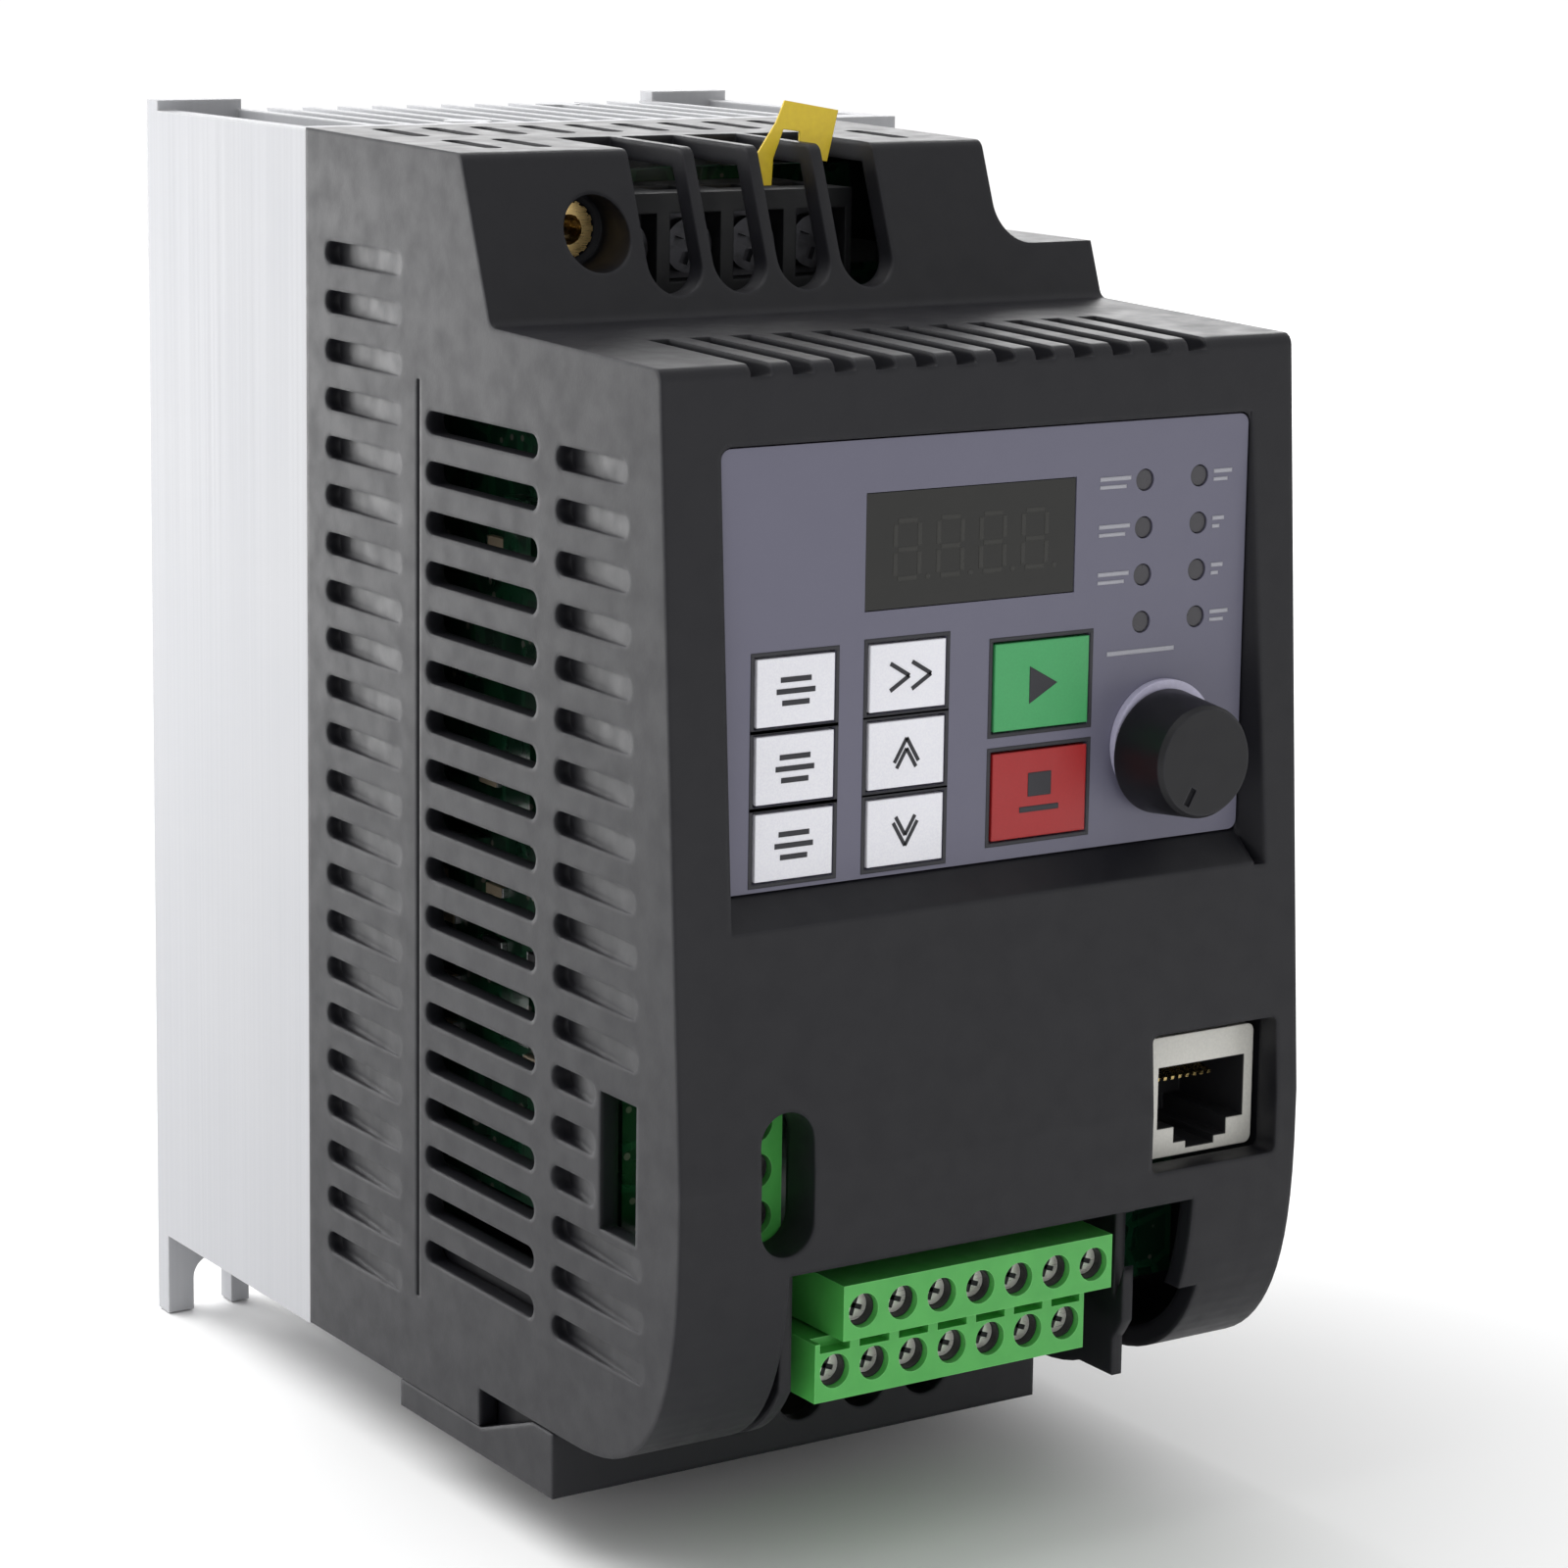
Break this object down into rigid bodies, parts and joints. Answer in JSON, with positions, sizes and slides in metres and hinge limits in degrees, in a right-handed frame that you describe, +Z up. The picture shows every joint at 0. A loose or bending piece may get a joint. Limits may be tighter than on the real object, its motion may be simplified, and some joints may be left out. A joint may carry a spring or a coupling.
{
  "type": "variable frequency drive",
  "caption": "Wall-mounted motor drive: finned aluminium heatsink, vented plastic cover, keypad with speed knob, screw terminals and a data socket.",
  "frame": {"origin": "centre of the back mounting plane, midway between the feet", "axes": "+X to the right seen from the front, front face towards -Y, +Z up; the mounting plane's normal into the wall is +Y"},
  "size_m": [0.08, 0.1265, 0.1534],
  "materials": {
    "heatsink_aluminium": "blasted, matt",
    "cover_plastic": "fine spark-eroded texture",
    "thermal_pad": "matt",
    "black_resin": "matt",
    "steel_screw": "zinc plated",
    "nickel_screw": "nickel plated",
    "dark_steel": "blackened",
    "brass_part": "turned",
    "gold_contact": "bright",
    "board_green": "solder resist",
    "capacitor_sleeve": "shrink sleeve",
    "transformer_ferrite": "taped",
    "relay_case": "satin",
    "terminal_black": "matt",
    "terminal_green": "satin",
    "socket_white": "satin",
    "panel_grey": "satin film",
    "display_window": "gloss",
    "led_lens": "diffuse",
    "key_white": "satin",
    "key_green": "satin",
    "key_red": "satin",
    "brushed_part": "brushed",
    "knob_black": "satin",
    "collar_pale": "satin",
    "fan_black": "satin",
    "tag_yellow": "satin film"
  },
  "bodies": {
    "drive": {"heatsink": "heatsink_aluminium", "thermal_pad": "thermal_pad", "power_module": "black_resin", "module_screws": "steel_screw", "board_standoffs": "brass_part", "power_board": "board_green", "board_screws": "steel_screw", "bus_capacitors": "capacitor_sleeve", "transformer": "transformer_ferrite", "inrush_relay": "relay_case", "supply_terminal_block": "terminal_black", "supply_terminal_screws": "dark_steel", "motor_terminal_block": "terminal_black", "motor_terminal_screws": "brass_part", "terminal_base": "cover_plastic", "main_cover": "cover_plastic", "cover_screws": "steel_screw", "earth_insert": "brass_part", "driver_board": "board_green", "board_carrier": "black_resin", "control_board": "board_green", "link_header": "socket_white", "control_terminal_upper": "terminal_green", "control_terminal_lower": "terminal_green", "control_terminal_screws": "nickel_screw", "relay_terminal_block": "terminal_green", "relay_terminal_screws": "nickel_screw", "rj45_socket": "socket_white", "rj45_contacts": "gold_contact", "keypad_board": "board_green", "keypad_panel": "panel_grey", "display_module": "black_resin", "display_window": "display_window", "indicator_leds": "led_lens", "key_switches": "black_resin", "potentiometer": "brushed_part", "knob_collar": "collar_pale", "fan_frame": "fan_black", "fan_guard": "fan_black", "fan_screws": "steel_screw", "blank_tag": "tag_yellow"},
    "menu_button": {"menu_key": "key_white"},
    "enter_button": {"enter_key": "key_white"},
    "reverse_button": {"reverse_key": "key_white"},
    "shift_button": {"shift_key": "key_white"},
    "up_button": {"up_key": "key_white"},
    "down_button": {"down_key": "key_white"},
    "run_button": {"run_key": "key_green"},
    "stop_button": {"stop_key": "key_red"},
    "knob": {"knob_shaft": "brushed_part", "speed_knob": "knob_black"},
    "rotor": {"fan_rotor": "fan_black"}
  },
  "joints": [
    {"name": "menu_press", "type": "slide", "parent": "drive", "child": "menu_button", "axis": [0, 1, 0], "range_m": [0, 0.0005], "stiffness_N_per_m": 1500},
    {"name": "enter_press", "type": "slide", "parent": "drive", "child": "enter_button", "axis": [0, 1, 0], "range_m": [0, 0.0005], "stiffness_N_per_m": 1500},
    {"name": "reverse_press", "type": "slide", "parent": "drive", "child": "reverse_button", "axis": [0, 1, 0], "range_m": [0, 0.0005], "stiffness_N_per_m": 1500},
    {"name": "shift_press", "type": "slide", "parent": "drive", "child": "shift_button", "axis": [0, 1, 0], "range_m": [0, 0.0005], "stiffness_N_per_m": 1500},
    {"name": "up_press", "type": "slide", "parent": "drive", "child": "up_button", "axis": [0, 1, 0], "range_m": [0, 0.0005], "stiffness_N_per_m": 1500},
    {"name": "down_press", "type": "slide", "parent": "drive", "child": "down_button", "axis": [0, 1, 0], "range_m": [0, 0.0005], "stiffness_N_per_m": 1500},
    {"name": "run_press", "type": "slide", "parent": "drive", "child": "run_button", "axis": [0, 1, 0], "range_m": [0, 0.0005], "stiffness_N_per_m": 1500},
    {"name": "stop_press", "type": "slide", "parent": "drive", "child": "stop_button", "axis": [0, 1, 0], "range_m": [0, 0.0005], "stiffness_N_per_m": 1500},
    {"name": "speed_knob_turn", "type": "hinge", "parent": "drive", "child": "knob", "pos_m": [0.023, -0.118, 0.011], "axis": [0, 1, 0], "range_deg": [0, 300]},
    {"name": "fan_spin", "type": "hinge", "parent": "drive", "child": "rotor", "pos_m": [0, -0.0184, -0.0597], "axis": [0, 0, 1], "continuous": true}
  ]
}
